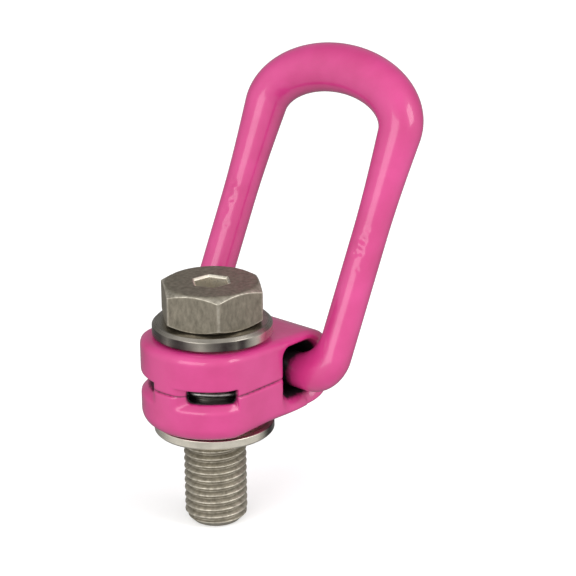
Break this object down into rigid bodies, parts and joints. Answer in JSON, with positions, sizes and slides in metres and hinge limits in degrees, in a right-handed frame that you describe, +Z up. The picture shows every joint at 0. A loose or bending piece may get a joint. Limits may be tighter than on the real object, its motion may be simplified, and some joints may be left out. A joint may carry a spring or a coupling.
{
  "type": "swivel hoist ring",
  "caption": "Bolt-on lifting point: a forged body that swivels on a clamped bush carries a pivoting load ring over a captive hexagon bolt.",
  "frame": {"origin": "on the bolt's axis, in the plane of the bearing face under the bush's flange", "axes": "+Z up along the bolt towards its head, +X from the bolt to the load ring's bar, Y along the bar"},
  "size_m": [0.1143, 0.0848, 0.1719],
  "materials": {
    "pink_enamel": "glossy powder coat",
    "bolt_steel": "blasted, warm grey",
    "turned_steel": "turned, satin",
    "spring_steel": "drawn wire, dull"
  },
  "bodies": {
    "clamped_bush": {"flanged_bush": "turned_steel", "top_collar": "turned_steel"},
    "bolt_retainer": {"bolt_retaining_ring": "spring_steel"},
    "bolt": {"hex_bolt": "bolt_steel"},
    "swivel_body": {"shackle_body": "pink_enamel", "clamping_spring": "spring_steel"},
    "load_ring": {"load_ring": "pink_enamel"}
  },
  "joints": [
    {"name": "body_swivel", "type": "hinge", "parent": "clamped_bush", "child": "swivel_body", "pos_m": [0, 0, 0.0215], "axis": [0, 0, 1], "continuous": true},
    {"name": "ring_pivot", "type": "hinge", "parent": "swivel_body", "child": "load_ring", "pos_m": [0.0266, 0, 0.0206], "axis": [0, 1, 0], "range_deg": [-121, 69]},
    {"name": "bolt_lift", "type": "slide", "parent": "clamped_bush", "child": "bolt_retainer", "axis": [0, 0, 1], "range_m": [0, 0.0145]},
    {"name": "bolt_turn", "type": "hinge", "parent": "bolt_retainer", "child": "bolt", "pos_m": [0, 0, 0], "axis": [0, 0, 1], "continuous": true}
  ]
}
